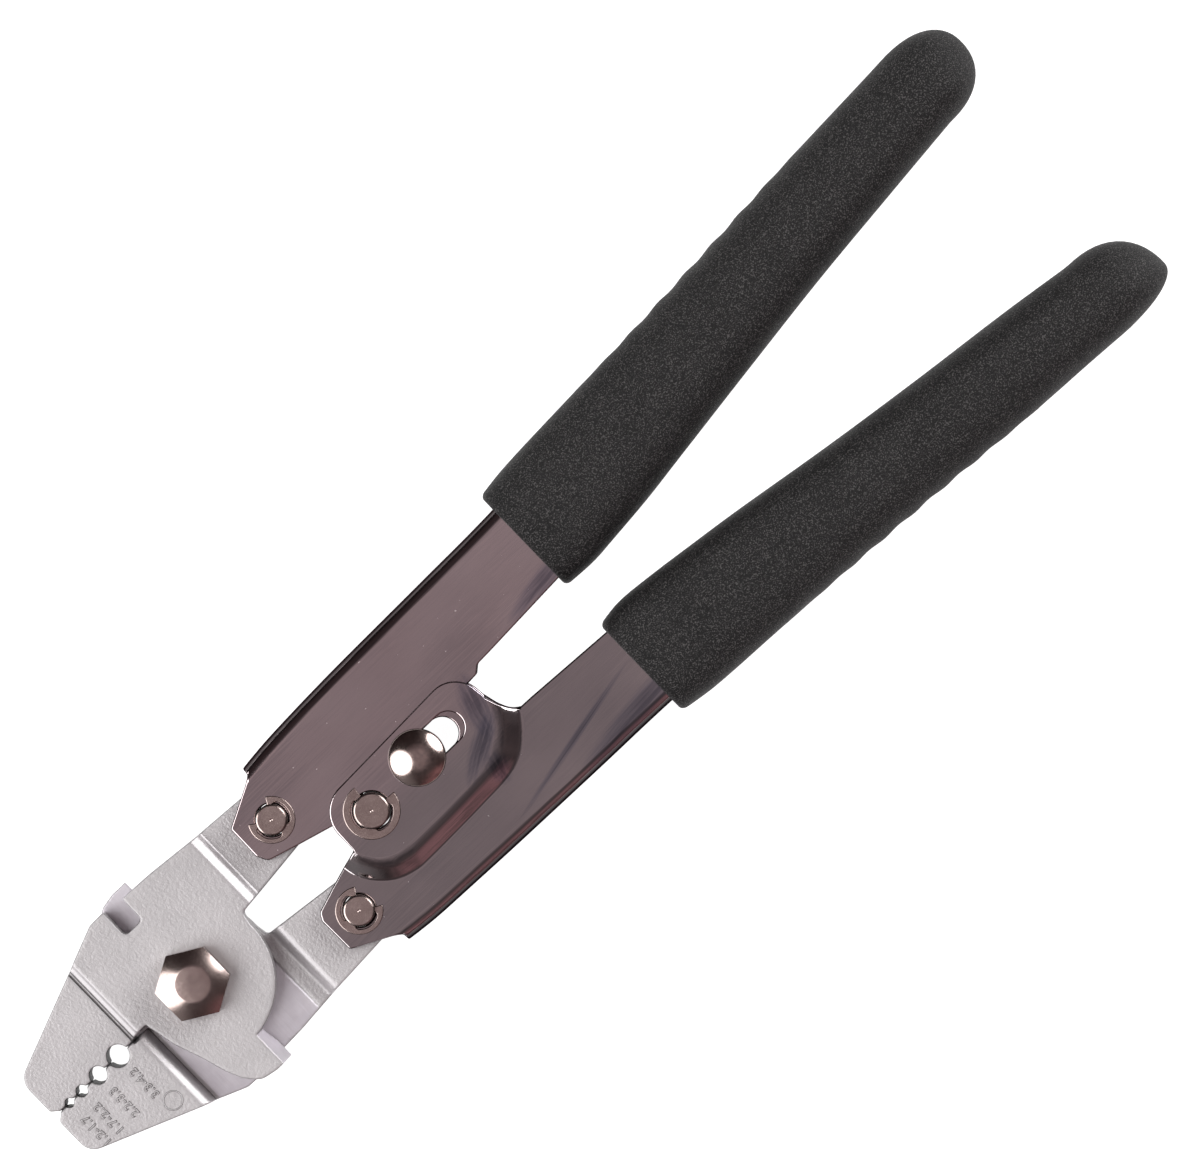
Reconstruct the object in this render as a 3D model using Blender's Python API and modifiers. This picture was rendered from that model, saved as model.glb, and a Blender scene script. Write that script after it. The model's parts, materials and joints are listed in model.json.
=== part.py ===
"""Compound-lever hand swager for crimp sleeves: two lapped jaws with four dies, two channel handles.

The tool lies flat. X runs from the jaws (-X) to the grips (+X), Y across the handles and Z up,
and the origin is under the middle of the whole tool, on the surface it lies on.
Lengths in this file are in millimetres about the jaw pivot, with z = 0 in the tool's mid-plane;
MM turns them into metres. The jaws are modelled closed.
"""
import math

import bmesh
import bpy
from mathutils import Matrix, Vector

MM = 0.001
GAP = 0.3                              # clearance between neighbouring pieces

# Where the jaw pivot stands over the origin
PIVOT = Vector((-91.8, -0.45, 9.3))
REST = PIVOT.z                         # depth of the plane the tool lies on

# Linkage: each jaw tail carries one handle, and the handles share one pin
TAIL_PIN_X, TAIL_PIN_Y = 30.65, 11.4
HANDLE_PIN_X = 44.9
LOCK_X, LOCK_Y = 57.5, 1.2             # sliding lock stud, unlocked

# Jaws
JAW_TIP_X = -35.0
TIP_Z = 4.5                            # half thickness of the die blocks
PLATE_Z = 5.4                          # outer face of each lapped pivot plate
TAIL_Z = 3.0                           # half thickness of the tails
PARTING = GAP / 2
BOSS_R = 14.8
DIES = ((-19.1, 2.1), (-24.1, 1.65), (-28.2, 1.1), (-31.3, 0.85))    # x and radius of each die
PIVOT_BORE_R = 4.3
TAIL_BORE_R = 3.15

# Handles: folded sheet channels
SHEET = 1.8
CHANNEL_Z = 5.1                        # outer face of the side plates
BEND_R = 1.2                           # bend radius of the sheet's middle surface
EAR_RISE = 2.1                         # the lower handle's ears stand over the upper handle's plates
EAR_Z = CHANNEL_Z + EAR_RISE
HANDLE_END_X = 195.0
LOBE_R = 6.8                           # the upper handle's lobe round the handle pin
SLOT_HALF = 2.95                       # half width of the slots that the lock stud slides in
EAR_SLOT_END_X = 65.2                  # centre of the lower handle's slot end
HOOK_SLOT_END_X = 64.25                # centre of the upper handle's slot end

# Grips
GRIP_HALF = REST
GRIP_CORNER = 5.5

# Fasteners
BOLT_R, BOLT_FLATS, HEAD_HEIGHT = 4.0, 12.1, 5.2
TAIL_PIN_R, HANDLE_PIN_R = 2.85, 3.3
STUD_R, DOME_R, DOME_HEIGHT = 2.65, 5.25, 4.2


# ---------------------------------------------------------------- scene and materials

def clear_scene():
    for item in list(bpy.data.objects):
        bpy.data.objects.remove(item)


def new_collection(name):
    collection = bpy.data.collections.new(name)
    bpy.context.scene.collection.children.link(collection)
    return collection


def material(name, colour, metallic, roughness):
    made = bpy.data.materials.new(name)
    made.use_nodes = True
    shader = made.node_tree.nodes["Principled BSDF"]
    shader.inputs["Base Color"].default_value = (*colour, 1.0)
    shader.inputs["Metallic"].default_value = metallic
    shader.inputs["Roughness"].default_value = roughness
    return made


# ---------------------------------------------------------------- modelling helpers

def mesh_object(name, mesh):
    made = bpy.data.objects.new(name, mesh)
    parts.objects.link(made)
    return made


def bake(target):
    """Put the object's evaluated mesh in place of its own and drop its modifiers."""
    bpy.context.view_layer.update()
    evaluated = target.evaluated_get(bpy.context.evaluated_depsgraph_get())
    mesh = bpy.data.meshes.new_from_object(evaluated)
    target.modifiers.clear()
    target.data = mesh


def tidy(mesh):
    """Weld loose caps and turn every face outwards."""
    work = bmesh.new()
    work.from_mesh(mesh)
    bmesh.ops.remove_doubles(work, verts=work.verts, dist=0.01 * MM)
    bmesh.ops.recalc_face_normals(work, faces=work.faces)
    work.to_mesh(mesh)
    work.free()


def combine(target, other, operation):
    """Boolean of two pieces; the second one is used up."""
    cutters.objects.link(other)
    parts.objects.unlink(other)
    other.hide_render = True
    other.display_type = "WIRE"
    modifier = target.modifiers.new(operation.lower(), "BOOLEAN")
    modifier.operation = operation
    modifier.object = other
    bake(target)
    bpy.data.objects.remove(other)


def rounded(corners, step=20.0):
    """Outline whose corners (x, y, radius) are turned into arcs with a point about every step degrees."""
    points = []
    for index, (x, y, radius) in enumerate(corners):
        here = Vector((x, y))
        if radius == 0:
            points.append(here)
            continue
        back = (Vector(corners[index - 1][:2]) - here).normalized()
        ahead = (Vector(corners[(index + 1) % len(corners)][:2]) - here).normalized()
        half = back.angle(ahead) / 2
        centre = here + (back + ahead).normalized() * (radius / math.sin(half))
        start = here + back * (radius / math.tan(half)) - centre
        sweep = (math.pi - 2 * half) * (1 if back.cross(ahead) < 0 else -1)
        count = max(1, round(abs(math.degrees(sweep)) / step))
        for turn in range(count + 1):
            points.append(centre + Matrix.Rotation(sweep * turn / count, 2) @ start)
    return points


def around(x, y, radius, angle):
    """The point at an angle in degrees on a circle about x, y."""
    return (x + radius * math.cos(math.radians(angle)), y + radius * math.sin(math.radians(angle)))


def arc(x, y, radius, first, last, count):
    """Points on a circle from one angle to another, in degrees."""
    return [around(x, y, radius, first + (last - first) * turn / count) for turn in range(count + 1)]


def prism(name, outline, low, high):
    """Flat outline in X and Y, filled, with a thickness from low to high."""
    curve = bpy.data.curves.new(name, "CURVE")
    curve.dimensions = "2D"
    curve.fill_mode = "BOTH"
    curve.extrude = (high - low) / 2 * MM
    spline = curve.splines.new("POLY")
    spline.points.add(len(outline) - 1)
    for point, (x, y) in zip(spline.points, outline):
        point.co = (x * MM, y * MM, 0, 1)
    spline.use_cyclic_u = True
    flat = bpy.data.objects.new(name + "_outline", curve)
    flat.location.z = (low + high) / 2 * MM
    parts.objects.link(flat)
    bpy.context.view_layer.update()
    evaluated = flat.evaluated_get(bpy.context.evaluated_depsgraph_get())
    mesh = bpy.data.meshes.new_from_object(evaluated)
    mesh.transform(flat.matrix_world)
    bpy.data.objects.remove(flat)
    tidy(mesh)
    return mesh_object(name, mesh)


def cylinder(name, x, y, radius, low, high, sides=32):
    work = bmesh.new()
    bmesh.ops.create_cone(work, cap_ends=True, segments=sides, radius1=radius * MM, radius2=radius * MM,
                          depth=(high - low) * MM,
                          matrix=Matrix.Translation(Vector((x, y, (low + high) / 2)) * MM))
    mesh = bpy.data.meshes.new(name)
    work.to_mesh(mesh)
    work.free()
    return mesh_object(name, mesh)


def turned(name, x, y, profile, sides=28, ring=False):
    """Profile of (radius, z) pairs turned about an upright axis; a ring's profile closes on itself."""
    mesh = bpy.data.meshes.new(name)
    edges = [(index, index + 1) for index in range(len(profile) - 1)]
    if ring:
        edges.append((len(profile) - 1, 0))
    mesh.from_pydata([(radius * MM, 0, z * MM) for radius, z in profile], edges, [])
    made = mesh_object(name, mesh)
    screw = made.modifiers.new("turn", "SCREW")
    screw.steps = screw.render_steps = sides
    screw.use_merge_vertices = True
    screw.merge_threshold = 0.01 * MM
    bake(made)
    made.data.transform(Matrix.Translation(Vector((x, y, 0)) * MM))
    tidy(made.data)
    return made


def bore(target, x, y, radius, sides=32):
    combine(target, cylinder("bore", x, y, radius, -20, 20, sides), "DIFFERENCE")


def hang(piece, axis, finish):
    """Fix a piece to the empty on its joint's axis and give it its material."""
    piece.data.transform(Matrix.Translation(-axis["at"].to_3d() * MM))
    piece.parent = axis["empty"]
    piece.data.materials.clear()
    piece.data.materials.append(finish)
    piece.data.shade_smooth()
    piece.data.set_sharp_from_angle(angle=math.radians(30))


def joint_axis(name, x, y, parent=None):
    empty = bpy.data.objects.new(name, None)
    parts.objects.link(empty)
    if parent is None:
        empty.location = (PIVOT + Vector((x, y, 0))) * MM
    else:
        empty.parent = parent["empty"]
        empty.location = (Vector((x, y, 0)) - parent["at"].to_3d()) * MM
    return {"empty": empty, "at": Vector((x, y))}


# ---------------------------------------------------------------- jaws

def jaw_plan():
    """The jaw seen from above: die block, pivot plate with its stop lug, and tail."""
    corners = [(JAW_TIP_X, PARTING, 0), (-12.0, PARTING, 0), (-11.6, -0.3, 0), (-10.3, -5.5, 0),
               (-8.3, -11.0, 0), (-7.1, -15.0, 0), (-5.6, -18.6, 1.5), (-3.3, -21.2, 2.0),
               (0.0, -21.8, 0), (3.6, -21.8, 0.8), (2.75, -15.2, 0)]
    corners += [(x, y, 0) for x, y in arc(0, 0, BOSS_R, -80, 2, 8)]
    corners += [(15.2, 3.0, 0.8), (31.0, 4.8, 0), (37.2, 5.1, 6.0), (37.2, 17.6, 6.2),
                (18.0, 18.8, 0), (8.0, 19.7, 0), (1.2, 20.0, 0.5), (1.2, 14.7, 0.8),
                (-3.0, 14.7, 0.8), (-3.0, 20.6, 0.4), (-6.4, 20.5, 1.5), (-15.0, 17.0, 0),
                (JAW_TIP_X, 9.0, 3.5)]
    return rounded(corners)


def jaw_side():
    """The jaw seen from the side, as x and z: full height at the dies, half lapped at the pivot."""
    return [(-40, -TIP_Z), (-14.0, -TIP_Z), (-12.0, PARTING), (16.0, PARTING), (17.5, -TAIL_Z),
            (42, -TAIL_Z), (42, TAIL_Z), (18.8, TAIL_Z), (17.2, PLATE_Z), (-13.5, PLATE_Z),
            (-15.5, TIP_Z), (-40, TIP_Z)]


def jaw():
    made = prism("upper_jaw", jaw_plan(), -8, 8)
    side = prism("jaw_side", jaw_side(), -30, 30)
    side.data.transform(Matrix.Rotation(math.radians(90), 4, "X"))
    combine(made, side, "INTERSECT")
    bore(made, 0, 0, PIVOT_BORE_R, 40)
    bore(made, TAIL_PIN_X, TAIL_PIN_Y, TAIL_BORE_R)
    for x, radius in DIES:
        bore(made, x, 0, radius, 20)
    return made


# ---------------------------------------------------------------- handles

def upper_spine():
    """Outer edge of the upper channel's back, from its front end into the grip."""
    return [(33.2, 21.2), (35.5, 21.9), (40, 22.4), (50, 23.0), (60, 23.3), (80, 23.5), (98, 24.0),
            (120, 25.6), (150, 27.6), (HANDLE_END_X, 30.2)]


def lower_spine():
    return [(33.4, -20.6), (35.5, -21.5), (40, -22.0), (50, -22.5), (60, -22.8), (80, -23.2),
            (98, -23.5), (120, -24.6), (150, -26.6), (HANDLE_END_X, -29.2)]


def upper_inner_edge():
    """Inner edge of the upper channel from the grip's end to the ears."""
    return [(HANDLE_END_X, 18.4), (150, 13.0), (110, 7.9), (98, 6.8), (80, 5.9)]


def lower_inner_edge():
    return [(80, -5.3), (98, -6.3), (110, -7.6), (150, -12.9), (HANDLE_END_X, -18.4)]


def upper_ear():
    """Hidden ear of the upper handle: lobe round the pin, and the hooked slot that the stud locks.

    The stud swings out of the notch as the handles open, and slides along the slot to lock them.
    """
    orbit = math.hypot(LOCK_X - HANDLE_PIN_X, LOCK_Y)
    inner, outer = orbit - STUD_R - 0.6, orbit + STUD_R + 0.6
    top, bottom = LOCK_Y + SLOT_HALF, LOCK_Y - SLOT_HALF
    hook_y = -5.5
    angle_top = math.degrees(math.asin(top / outer))
    angle_bottom = math.degrees(math.asin(bottom / outer))
    angle_hook = math.degrees(math.asin(hook_y / outer))
    points = rounded([(80.0, 5.9, 0), (77.0, 5.8, 0.6), (75.6, 4.6, 0.6), (72.4, 4.4, 1.0),
                      (70.9, 0.5, 0), (68.4, hook_y, 2.5), (65.0, hook_y, 0)])[1:]
    points += arc(HANDLE_PIN_X, 0, outer, angle_hook, angle_bottom, 2)
    points += arc(HOOK_SLOT_END_X, LOCK_Y, SLOT_HALF, -90, 90, 8)
    points += arc(HANDLE_PIN_X, 0, outer, angle_top, angle_top + 3, 1)
    points += arc(HANDLE_PIN_X, 0, inner, angle_top + 3, -38, 5)
    points += arc(HANDLE_PIN_X, 0, LOBE_R, -62, -203, 9)
    return points


def upper_nose():
    """Front end of the upper handle, round the jaw tail's pin."""
    return rounded([(37.5, 2.7, 0), (31.0, 4.75, 4.0), (25.0, 6.5, 1.5), (24.0, 8.6, 1.0),
                    (24.1, 15.4, 0.8), (29.6, 17.9, 3.0), (33.2, 18.9, 0)])[1:-1]


def lower_nose():
    return rounded([(33.4, -18.4, 0), (30.0, -17.3, 3.0), (24.5, -15.3, 0.8), (24.4, -8.2, 1.0),
                    (25.2, -6.7, 1.5), (30.0, -5.1, 0)])


def joggle_rows():
    """Foot and crest of the step that lifts the lower handle's ears, from the nose round to the grip side."""
    foot = [(34.0, -3.9), (34.8, -6.5), (36.6, -9.3), (39.5, -12.0), (43.0, -13.5), (47.0, -13.8),
            (60.0, -13.4), (67.0, -13.1), (71.0, -12.0), (74.2, -9.5), (76.3, -7.0), (77.2, -5.2)]
    crest = [(37.6, -2.9), (38.4, -5.0), (39.8, -7.1), (42.0, -8.6), (44.5, -9.1), (48.0, -9.3),
             (60.0, -9.1), (65.0, -8.3), (68.0, -6.5), (70.4, -4.1), (72.4, -1.4), (73.7, 1.5)]
    middle = [((fx + cx) / 2, (fy + cy) / 2) for (fx, fy), (cx, cy) in zip(foot, crest)]
    middle[-1] = (74.9, -3.2)
    return foot, middle, crest


def ear_top():
    """Free edge of the lower handle's ears, from the grip side over the top to the nose."""
    outline = rounded([(73.7, 1.5, 0), (73.2, 8.1, 5.6), (37.5, 6.85, 6.0), (37.6, -2.9, 0)])
    return outline[1:-1]


def fold(work, spine, side):
    """Half the channel's back and one bend; gives the bend's last row, where the side plate starts."""
    middle_z = CHANNEL_Z - SHEET / 2
    rows = []
    for x, y in spine:
        centre_y = y - side * (SHEET / 2 + BEND_R)
        column = [(x, y - side * SHEET / 2, 0)]
        for turn in range(4):
            angle = math.radians(30 * turn)
            column.append((x, centre_y + side * BEND_R * math.cos(angle),
                           middle_z - BEND_R + BEND_R * math.sin(angle)))
        rows.append([work.verts.new(Vector(point) * MM) for point in column])
    for near, far in zip(rows, rows[1:]):
        for level in range(4):
            work.faces.new((near[level], far[level], far[level + 1], near[level + 1]))
    return [row[-1] for row in rows]


def flat_row(work, points, z):
    return [work.verts.new(Vector((x, y, z)) * MM) for x, y in points]


def sheet_channel(name, work):
    """Mirror half a folded sheet to the back and give it the sheet's thickness."""
    bmesh.ops.recalc_face_normals(work, faces=work.faces)
    mesh = bpy.data.meshes.new(name)
    work.to_mesh(mesh)
    work.free()
    made = mesh_object(name, mesh)
    mirror = made.modifiers.new("back", "MIRROR")
    mirror.use_axis = (False, False, True)
    mirror.merge_threshold = 0.01 * MM
    shell = made.modifiers.new("sheet", "SOLIDIFY")
    shell.thickness = SHEET * MM
    shell.offset = 0
    shell.use_even_offset = True
    bake(made)
    tidy(made.data)
    return made


def upper_handle():
    middle_z = CHANNEL_Z - SHEET / 2
    work = bmesh.new()
    bend = fold(work, upper_spine(), 1)
    edge = flat_row(work, upper_inner_edge() + upper_ear() + upper_nose(), middle_z)
    work.faces.new(bend + edge)
    made = sheet_channel("upper_handle", work)
    bore(made, TAIL_PIN_X, TAIL_PIN_Y, TAIL_BORE_R)
    bore(made, HANDLE_PIN_X, 0, HANDLE_PIN_R + 1.5 * GAP)
    return made


def lower_handle():
    middle_z = CHANNEL_Z - SHEET / 2
    work = bmesh.new()
    bend = fold(work, lower_spine(), -1)
    rows = [flat_row(work, row, middle_z + EAR_RISE * level / 2)
            for level, row in enumerate(joggle_rows())]
    nose = flat_row(work, lower_nose()[1:], middle_z)
    inner = flat_row(work, lower_inner_edge(), middle_z)
    work.faces.new(nose + rows[0] + inner + bend[::-1])
    for low, high in zip(rows, rows[1:]):
        for index in range(len(low) - 1):
            work.faces.new((low[index], low[index + 1], high[index + 1], high[index]))
    work.faces.new(rows[2] + flat_row(work, ear_top(), middle_z + EAR_RISE))
    made = sheet_channel("lower_handle", work)
    bore(made, TAIL_PIN_X, -TAIL_PIN_Y, TAIL_BORE_R)
    bore(made, HANDLE_PIN_X, 0, HANDLE_PIN_R + GAP)
    slot = arc(EAR_SLOT_END_X, LOCK_Y, SLOT_HALF, -90, 90, 8)
    slot += arc(LOCK_X - 0.35, LOCK_Y, SLOT_HALF, 90, 270, 8)
    combine(made, prism("slot", slot, -20, 20), "DIFFERENCE")
    return made


# ---------------------------------------------------------------- grips

def grip_sections(side):
    """Stations along a grip: x, inner edge, outer edge and half thickness."""
    upper = [(98.4, 4.8, 27.2, 1.0), (106, 4.6, 28.1, 1.0), (120, 5.9, 28.9, 1.0), (140, 8.7, 29.8, 1.0),
             (160, 11.6, 31.0, 1.0), (180, 13.8, 32.3, 1.0), (200, 16.0, 33.3, 1.0),
             (209, 17.1, 33.7, 0.96), (213.5, 18.4, 33.2, 0.82), (216.5, 20.8, 31.3, 0.58),
             (218.6, 24.0, 28.2, 0.25)]
    lower = [(97.8, 4.7, 26.0, 1.0), (106, 4.1, 27.2, 1.0), (120, 5.6, 27.8, 1.0), (140, 8.5, 28.8, 1.0),
             (160, 11.3, 30.0, 1.0), (180, 13.6, 31.5, 1.0), (198, 15.7, 32.4, 1.0),
             (206, 17.2, 32.8, 0.96), (211.5, 19.0, 32.5, 0.82), (215, 22.2, 32.0, 0.58),
             (217.2, 26.5, 30.6, 0.25)]
    return upper if side > 0 else lower


def grip(name, side, inner_edge, spine):
    """Moulded sleeve: rounded rectangular sections lofted along the handle, with the channel's pocket."""
    work = bmesh.new()
    rings = []
    for x, inner, outer, share in grip_sections(side):
        low, high = sorted((side * inner, side * outer))
        half = GRIP_HALF * share
        radius = min(GRIP_CORNER, 0.45 * (high - low), 0.8 * half)
        section = rounded([(low, -half, radius), (high, -half, radius), (high, half, radius),
                           (low, half, radius)], 23)
        rings.append([work.verts.new(Vector((x, y, z)) * MM) for y, z in section])
    for near, far in zip(rings, rings[1:]):
        for index in range(len(near)):
            after = (index + 1) % len(near)
            work.faces.new((near[index], near[after], far[after], far[index]))
    work.faces.new(rings[0])
    work.faces.new(rings[-1])
    mesh = bpy.data.meshes.new(name)
    work.to_mesh(mesh)
    work.free()
    tidy(mesh)
    made = mesh_object(name, mesh)
    inner = [(x, y - side * GAP) for x, y in inner_edge if x > 90]
    outer = [(x, y + side * GAP) for x, y in spine if x > 90]
    inner, outer = sorted(inner), sorted(outer)
    ends = [(90.0, inner[0][1] - side * 0.4), (90.0, outer[0][1])]
    reach = [(inner[-1][0] + GAP, inner[-1][1]), (outer[-1][0] + GAP, outer[-1][1])]
    pocket = [ends[0]] + inner[:-1] + reach + outer[-2::-1] + [ends[1]]
    combine(made, prism("pocket", pocket, -CHANNEL_Z - GAP, CHANNEL_Z + GAP), "DIFFERENCE")
    return made


# ---------------------------------------------------------------- fasteners

def hexagon(name, flats, low, high):
    """Six-sided prism on the pivot's axis, with two of its corners on the Y axis."""
    return cylinder(name, 0, 0, flats / 2 / math.cos(math.radians(30)), low, high, 6)


def pivot_bolt():
    """Hex bolt through both jaws, its head rounded off to a flat top."""
    low = PLATE_Z + GAP
    high = low + HEAD_HEIGHT
    made = hexagon("pivot_bolt", BOLT_FLATS, low, high)
    crown = turned("crown", 0, 0, [(0, high - 0.02), (3.5, high - 0.02), (5.0, high - 0.55), (6.2, high - 1.4),
                                   (7.6, high - 2.9), (7.6, low - 1), (0, low - 1)], 36)
    combine(made, crown, "INTERSECT")
    shank = cylinder("shank", 0, 0, BOLT_R, -REST + 0.2, low + 2)
    combine(made, shank, "UNION")
    return made


def pivot_nut():
    made = hexagon("pivot_nut", BOLT_FLATS, -REST, -PLATE_Z - GAP)
    bore(made, 0, 0, PIVOT_BORE_R)
    return made


def grooved_pin(name, x, y, radius, face):
    """Pin through the plates at +face and -face, grooved outside each for a retaining clip."""
    neck = radius - 0.55
    low, high = face, face + 0.7 + 2 * GAP
    end = high + 0.7
    half = [(0, end), (radius - 0.3, end), (radius, end - 0.3), (radius, high), (neck, high),
            (neck, low), (radius, low)]
    return turned(name, x, y, half + [(r, -z) for r, z in reversed(half)])


def retaining_clip(name, x, y, pin_radius, outer, face, opening):
    """E-shaped clip with three teeth in the pin's groove; opening is the mid angle of its mouth."""
    first, last = opening + 42, opening + 318
    inner = pin_radius + 0.25
    tooth = pin_radius - 0.25
    outline = arc(x, y, outer, first, last, 20)
    steps = 30
    for step in range(steps + 1):
        share = 1 - step / steps
        on_tooth = min(share, 1 - share, abs(share - 0.5)) < 0.07
        outline.append(around(x, y, tooth if on_tooth else inner, first + (last - first) * share))
    low = face + GAP if face > 0 else face - GAP - 0.7
    return prism(name, outline, low, low + 0.7)


def handle_spacer():
    """Sleeve on the handle pin that keeps the channel's plates apart."""
    inner, outer = HANDLE_PIN_R + GAP, 5.0
    return turned("handle_spacer", HANDLE_PIN_X, 0, [(inner, TAIL_Z), (outer, TAIL_Z), (outer, -TAIL_Z),
                                                     (inner, -TAIL_Z)], 24, ring=True)


def lock_stud():
    """Domed stud through the ears' slot, riveted over at the back."""
    low = CHANNEL_Z + EAR_RISE + GAP
    dome = [(DOME_R * math.sin(math.radians(15 * turn)),
             low + 0.5 + (DOME_HEIGHT - 0.5) * math.cos(math.radians(15 * turn))) for turn in range(7)]
    dome[0] = (0, low + DOME_HEIGHT)
    back = [(DOME_R - 0.3, low), (STUD_R, low), (STUD_R, -8.5), (4.0, -8.5), (4.0, -8.8), (3.2, -9.2), (0, -9.2)]
    return turned("lock_stud", LOCK_X, LOCK_Y, dome + back)


def lock_spring_washer():
    """Dished spring washer behind the ears, which holds the stud where it is slid."""
    inner, outer = STUD_R + GAP, 4.8
    return turned("lock_spring_washer", LOCK_X, LOCK_Y, [(inner, -7.7), (outer, -7.5), (outer, -8.0),
                                                         (inner, -8.2)], 24, ring=True)


# ---------------------------------------------------------------- assembly

clear_scene()
parts = new_collection("hand_swager")
cutters = new_collection("cutters")

cast_steel = material("cast_steel", (0.60, 0.59, 0.59), 0.9, 0.42)
chrome = material("chrome", (0.52, 0.48, 0.48), 1.0, 0.12)
nickel = material("nickel", (0.66, 0.62, 0.60), 1.0, 0.16)
rubber = material("rubber", (0.022, 0.022, 0.023), 0.0, 0.8)

root = joint_axis("jaw_pivot", 0, 0)
upper_jaw_axis = joint_axis("upper_jaw_axis", 0, 0, root)
upper_handle_axis = joint_axis("upper_handle_axis", TAIL_PIN_X, TAIL_PIN_Y, upper_jaw_axis)
lower_handle_axis = joint_axis("lower_handle_axis", TAIL_PIN_X, -TAIL_PIN_Y, root)
lock_axis = joint_axis("lock_slide", LOCK_X, LOCK_Y, lower_handle_axis)

# The lower jaw is the upper one turned over
upper = jaw()
hang(upper, upper_jaw_axis, cast_steel)
lower = mesh_object("lower_jaw", upper.data)
lower.parent = root["empty"]
lower.rotation_euler.x = math.pi
hang(pivot_bolt(), root, nickel)
hang(pivot_nut(), root, nickel)

hang(upper_handle(), upper_handle_axis, chrome)
hang(grip("upper_grip", 1, upper_inner_edge(), upper_spine()), upper_handle_axis, rubber)
hang(lower_handle(), lower_handle_axis, chrome)
hang(grip("lower_grip", -1, lower_inner_edge(), lower_spine()), lower_handle_axis, rubber)

pin_places = (("upper_jaw_pin", upper_handle_axis, TAIL_PIN_X, TAIL_PIN_Y, TAIL_PIN_R, 4.35, CHANNEL_Z, 105),
              ("lower_jaw_pin", lower_handle_axis, TAIL_PIN_X, -TAIL_PIN_Y, TAIL_PIN_R, 4.4, CHANNEL_Z, 13),
              ("handle_pin", lower_handle_axis, HANDLE_PIN_X, 0, HANDLE_PIN_R, 5.25, EAR_Z, 40))
for name, axis, x, y, radius, clip_r, face, opening in pin_places:
    hang(grooved_pin(name, x, y, radius, face), axis, nickel)
    hang(retaining_clip(name + "_clip", x, y, radius, clip_r, face, opening), axis, nickel)
    hang(retaining_clip(name + "_rear_clip", x, y, radius, clip_r, -face, opening), axis, nickel)
hang(handle_spacer(), lower_handle_axis, nickel)
hang(lock_stud(), lock_axis, nickel)
hang(lock_spring_washer(), lock_axis, nickel)
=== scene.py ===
"""Looks of the compound-lever hand swager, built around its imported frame.

Lengths are in millimetres about the jaw pivot, with z = 0 in the tool's mid-plane, and MM turns them
into metres. Every place that the CAD model settles is read from the frame.
"""
import json
import math

import bmesh
import bpy
from mathutils import Matrix, Vector


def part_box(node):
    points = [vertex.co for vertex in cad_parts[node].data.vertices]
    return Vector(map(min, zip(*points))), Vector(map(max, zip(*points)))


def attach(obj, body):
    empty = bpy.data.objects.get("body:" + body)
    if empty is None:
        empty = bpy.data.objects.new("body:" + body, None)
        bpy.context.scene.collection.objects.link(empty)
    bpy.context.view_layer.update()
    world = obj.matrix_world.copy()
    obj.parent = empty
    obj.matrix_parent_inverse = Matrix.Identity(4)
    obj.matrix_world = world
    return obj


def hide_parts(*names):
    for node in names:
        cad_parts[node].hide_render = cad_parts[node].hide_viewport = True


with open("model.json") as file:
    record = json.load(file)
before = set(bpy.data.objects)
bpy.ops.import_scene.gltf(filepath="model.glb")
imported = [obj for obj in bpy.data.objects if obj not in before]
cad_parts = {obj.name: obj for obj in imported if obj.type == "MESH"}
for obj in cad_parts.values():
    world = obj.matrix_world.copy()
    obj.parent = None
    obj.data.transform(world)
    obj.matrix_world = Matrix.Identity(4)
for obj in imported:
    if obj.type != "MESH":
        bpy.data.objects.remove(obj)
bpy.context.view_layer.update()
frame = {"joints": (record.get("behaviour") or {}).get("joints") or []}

MM = 0.001
joints = {joint["name"]: joint for joint in frame["joints"]}
PIVOT = Vector(joints["jaw_hinge"]["pos_m"])
LOWEST, HIGHEST = 0, 1


def place(x, y, z=0.0):
    """A point of the tool in the frame, in metres."""
    return PIVOT + Vector((x, y, z)) * MM


def span(node):
    """Lowest and highest corner of a CAD node, in millimetres about the jaw pivot."""
    return [(corner - PIVOT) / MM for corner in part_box(node)]


def middle(node):
    low, high = span(node)
    return (low + high) / 2


# Places and sizes that the frame settles
TAIL_PIN = (Vector(joints["upper_handle_hinge"]["pos_m"]) - PIVOT) / MM
HANDLE_PIN_X = middle("handle_pin").x
LOCK = middle("lock_stud")
JAW_TIP_X = span("upper_jaw")[LOWEST].x
PLATE_Z = span("upper_jaw")[HIGHEST].z
CHANNEL_Z = span("upper_handle")[HIGHEST].z
EAR_Z = span("lower_handle")[HIGHEST].z
HANDLE_END_X = span("upper_handle")[HIGHEST].x
GRIP_HALF = span("upper_grip")[HIGHEST].z

# Jaws
TIP_Z = 4.5
TAIL_Z = 3.0
PARTING = -0.02
LAP = 0.15
BOSS_R = 14.8
LUG_Y = 14.7                    # the stop lug stands outside this
DIES = ((-19.1, 2.1), (-24.1, 1.65), (-28.2, 1.1), (-31.3, 0.85))
DIE_LABELS = ("3.3-4.2", "2.2-3.3", "1.7-2.2", "1.2-1.7")
VOXEL = 0.16
# Stretches along X where a jaw isn't left as cast: lap, stop lug, shoulder, crest at the tail, front ramp
LAP_X, LUG_X, SHOULDER_X = (-11.4, 13.2), (1.2, 4.3), (-14.2, -10.8)
CREST_X, RAMP_X = (14.6, 19.9), (-15.2, -13.0)
MILLED_PAINTED_LIGHT, BORED, ROLLED = 1, 2, 3  # material slots of a jaw after the casting's own

# Sheet handles
SHEET = 1.8
BEND_R = 1.9
LOBE_R = 6.8
SLOT_HALF = 2.95
EAR_SLOT_END_X = 65.2           # centre of the lower handle's slot end
HOOK_SLOT_END_X = 63.7          # the same in the upper handle's hidden ear
TAIL_BORE_R = 3.0
RIM = 0.3
WIDE_FLAT = 2.0

# Fasteners
BOLT_R = 4.0
STUD_R = 2.65
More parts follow.
